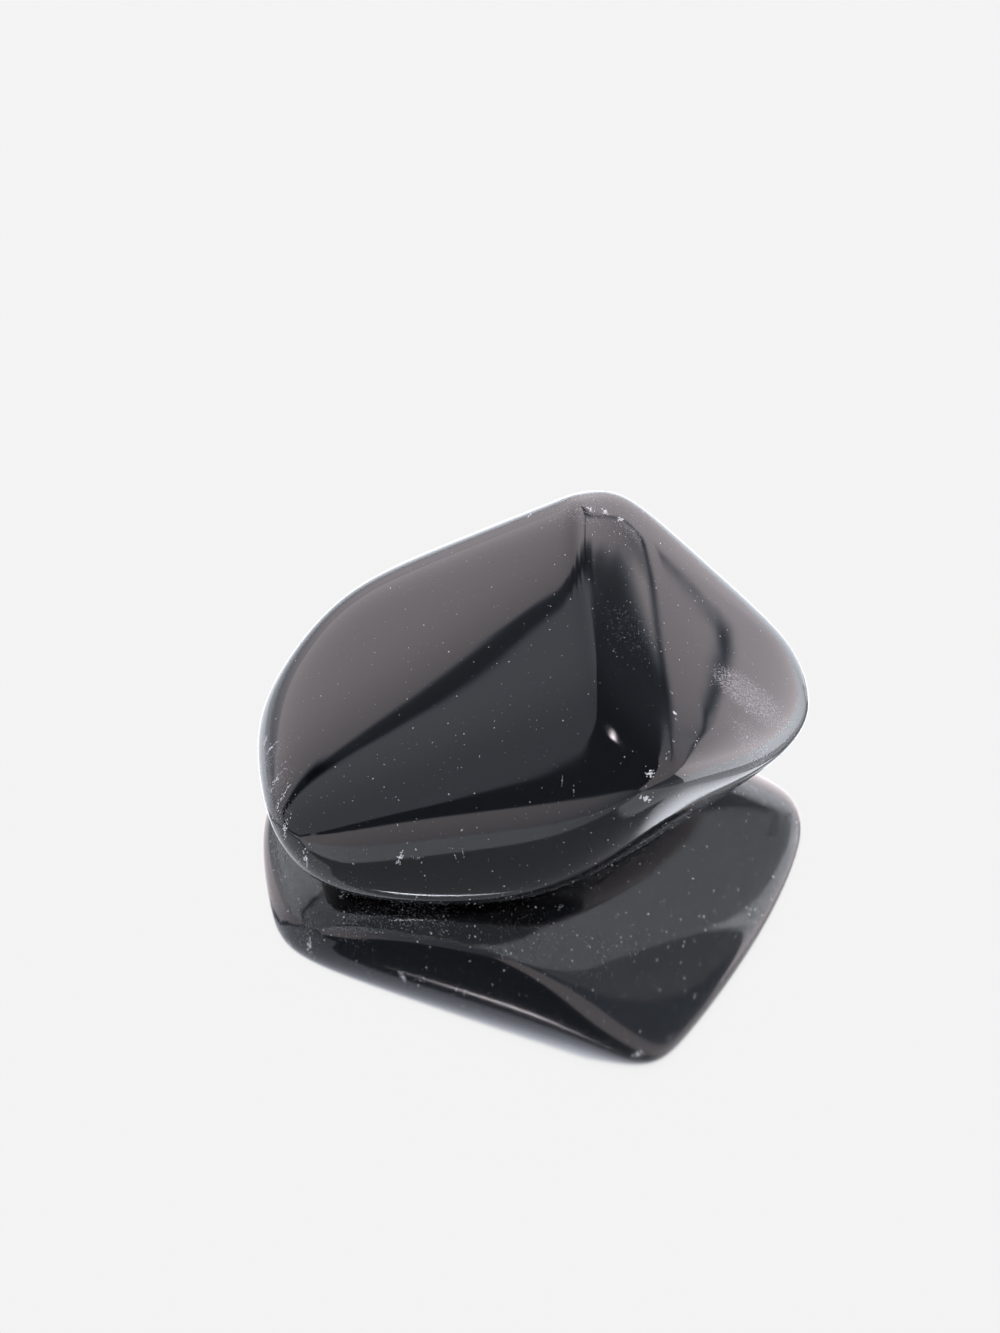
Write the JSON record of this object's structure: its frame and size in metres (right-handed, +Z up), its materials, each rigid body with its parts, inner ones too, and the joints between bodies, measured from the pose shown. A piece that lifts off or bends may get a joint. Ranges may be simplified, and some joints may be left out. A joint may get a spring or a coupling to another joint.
{
  "type": "tumbled obsidian stone",
  "caption": "Small tumbled and polished piece of black volcanic glass: a rounded wedge with a blunt ridge that lies on a flat spot, for display, sorting or handling.",
  "frame": {"origin": "on the surface the stone lies on, under the middle of its bounding box", "axes": "+X along the stone's length, towards the end that lifts clear of the surface; +Z up, through the ridge; +Y towards the back"},
  "size_m": [0.032, 0.0264, 0.0149],
  "materials": {
    "obsidian_chunk": "opaque black volcanic glass with a tumbled gloss polish and a few pale bruises"
  },
  "bodies": {
    "root": {"obsidian_chunk": "obsidian_chunk"}
  },
  "joints": []
}
